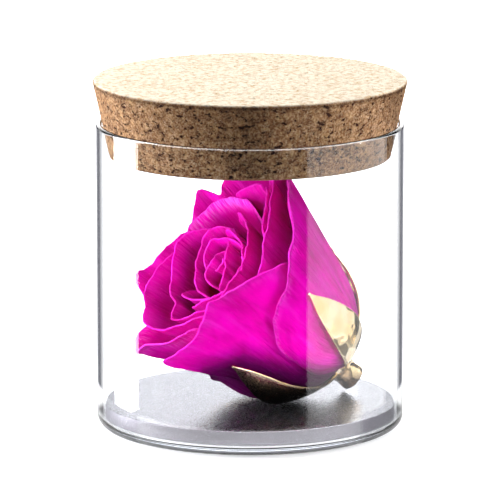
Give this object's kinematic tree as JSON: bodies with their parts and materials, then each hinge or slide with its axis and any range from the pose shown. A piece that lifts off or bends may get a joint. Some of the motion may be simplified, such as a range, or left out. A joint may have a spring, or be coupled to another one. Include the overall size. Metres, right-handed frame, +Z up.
{
  "type": "preserved rose in glass jar",
  "caption": "Preserved pink rose head with a gilded calyx, lying on a grey disc in a straight clear glass jar closed by a tapered cork lid.",
  "frame": {"origin": "centre of the jar's underside", "axes": "+Z up through the lid, -Y towards the viewer of the picture, +X to the viewer's right"},
  "size_m": [0.102, 0.102, 0.114],
  "materials": {
    "glass": "clear, polished, with a rounded rim",
    "cork": "pressed cork granulate, matt, with dark pits",
    "board": "fine-grained grey with a soft sheen",
    "petal": "velvety hot pink, waxy and slightly translucent",
    "gold": "polished gilt"
  },
  "bodies": {
    "root": {"glass_jar": "glass", "base_disc": "board", "cork_lid": "cork", "petal_front": "petal", "petal_right": "petal", "petal_top": "petal", "petal_behind": "petal", "petal_left": "petal", "petal_right_inner": "petal", "petal_right_core": "petal", "petal_front_inner": "petal", "petal_top_inner": "petal", "petal_top_core": "petal", "petal_left_inner": "petal", "petal_left_core": "petal", "petal_right_heart": "petal", "petal_left_heart": "petal", "petal_front_heart": "petal", "petal_low_heart": "petal", "petal_back_heart": "petal", "petal_bud_right": "petal", "petal_bud_left": "petal", "petal_bud_centre": "petal", "gilded_calyx": "gold"}
  },
  "joints": []
}
